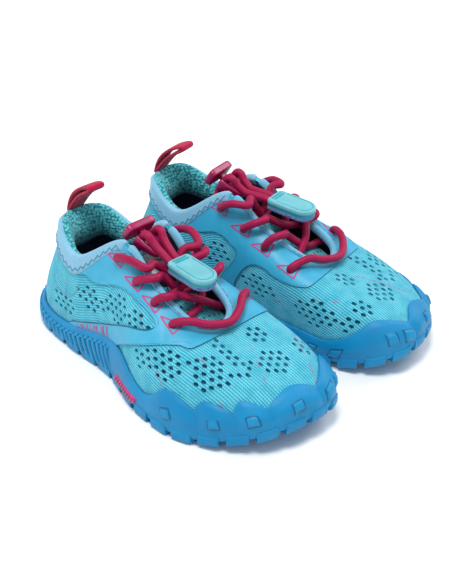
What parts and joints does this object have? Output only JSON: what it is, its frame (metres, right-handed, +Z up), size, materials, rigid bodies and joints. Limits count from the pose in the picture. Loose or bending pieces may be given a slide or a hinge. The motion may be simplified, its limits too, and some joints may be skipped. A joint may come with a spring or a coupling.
{
  "type": "water shoes",
  "caption": "Pair of child's low-cut water shoes: knitted uppers on lugged rubber soles, closed by an elastic lace with a sprung cord lock.",
  "frame": {"origin": "on the ground, under the middle of the pair", "axes": "+X towards the toes, +Y towards the left shoe, +Z up"},
  "size_m": [0.1832, 0.168, 0.0784],
  "materials": {
    "sole_rubber": "satin",
    "badge": "satin",
    "board": "matte",
    "insole_foam": "matte",
    "knit": "matte",
    "film": "satin",
    "binding": "matte",
    "lining": "matte",
    "tape": "matte",
    "tongue_knit": "matte",
    "label": "matte",
    "webbing": "matte",
    "cord": "matte",
    "lock": "satin",
    "spring": "satin",
    "tab": "satin",
    "fleece": "matte"
  },
  "bodies": {
    "shoes": {"right_outsole": "sole_rubber", "right_side_badge": "badge", "right_strobel_board": "board", "right_insole": "insole_foam", "right_knit_upper": "knit", "right_saddle_overlay": "film", "right_collar_binding": "binding", "right_collar_lining": "lining", "right_throat_tape": "tape", "right_tongue": "tongue_knit", "right_tongue_label": "label", "right_elastic_lace": "cord", "left_outsole": "sole_rubber", "left_side_badge": "badge", "left_strobel_board": "board", "left_insole": "insole_foam", "left_knit_upper": "knit", "left_saddle_overlay": "film", "left_collar_binding": "binding", "left_collar_lining": "lining", "left_throat_tape": "tape", "left_tongue": "tongue_knit", "left_tongue_label": "label", "left_elastic_lace": "cord"},
    "right_lock": {"right_lock_housing": "lock", "right_lock_spring": "spring", "right_lace_tail_lateral": "cord", "right_lace_tail_medial": "cord"},
    "right_button": {"right_lock_button": "lock"},
    "right_tab": {"right_tab_cover": "tab", "right_tab_backing": "fleece"},
    "right_loop": {"right_pull_loop": "webbing"},
    "left_lock": {"left_lock_housing": "lock", "left_lock_spring": "spring", "left_lace_tail_lateral": "cord", "left_lace_tail_medial": "cord"},
    "left_button": {"left_lock_button": "lock"},
    "left_tab": {"left_tab_cover": "tab", "left_tab_backing": "fleece"},
    "left_loop": {"left_pull_loop": "webbing"}
  },
  "joints": [
    {"name": "right_lace_pull", "type": "slide", "parent": "shoes", "child": "right_lock", "axis": [0.4973, -0.0514, 0.866], "range_m": [0, 0.018], "stiffness_N_per_m": 400},
    {"name": "right_lock_press", "type": "slide", "parent": "right_lock", "child": "right_button", "axis": [0.8436, -0.0872, -0.5299], "range_m": [0, 0.002], "stiffness_N_per_m": 900, "deforming": ["right_lock_spring"]},
    {"name": "right_tab_swing", "type": "hinge", "parent": "right_lock", "child": "right_tab", "pos_m": [-0.0051, -0.03766, 0.06232], "axis": [-0.1028, -0.9947, 0], "range_deg": [0, 75], "deforming": ["right_lace_tail_lateral", "right_lace_tail_medial"]},
    {"name": "right_loop_flex", "type": "hinge", "parent": "shoes", "child": "right_loop", "pos_m": [-0.07304, -0.03064, 0.0593], "axis": [0.1028, 0.9947, 0], "range_deg": [-60, 20], "stiffness_Nm_per_rad": 0.01},
    {"name": "left_lace_pull", "type": "slide", "parent": "shoes", "child": "left_lock", "axis": [0.4973, 0.0514, 0.866], "range_m": [0, 0.018], "stiffness_N_per_m": 400},
    {"name": "left_lock_press", "type": "slide", "parent": "left_lock", "child": "left_button", "axis": [0.8436, 0.0872, -0.5299], "range_m": [0, 0.002], "stiffness_N_per_m": 900, "deforming": ["left_lock_spring"]},
    {"name": "left_tab_swing", "type": "hinge", "parent": "left_lock", "child": "left_tab", "pos_m": [-0.01503, 0.03643, 0.06282], "axis": [0.1028, -0.9947, 0], "range_deg": [0, 75], "deforming": ["left_lace_tail_lateral", "left_lace_tail_medial"]},
    {"name": "left_loop_flex", "type": "hinge", "parent": "shoes", "child": "left_loop", "pos_m": [-0.07104, 0.03064, 0.0593], "axis": [-0.1028, 0.9947, 0], "range_deg": [-60, 20], "stiffness_Nm_per_rad": 0.01}
  ]
}
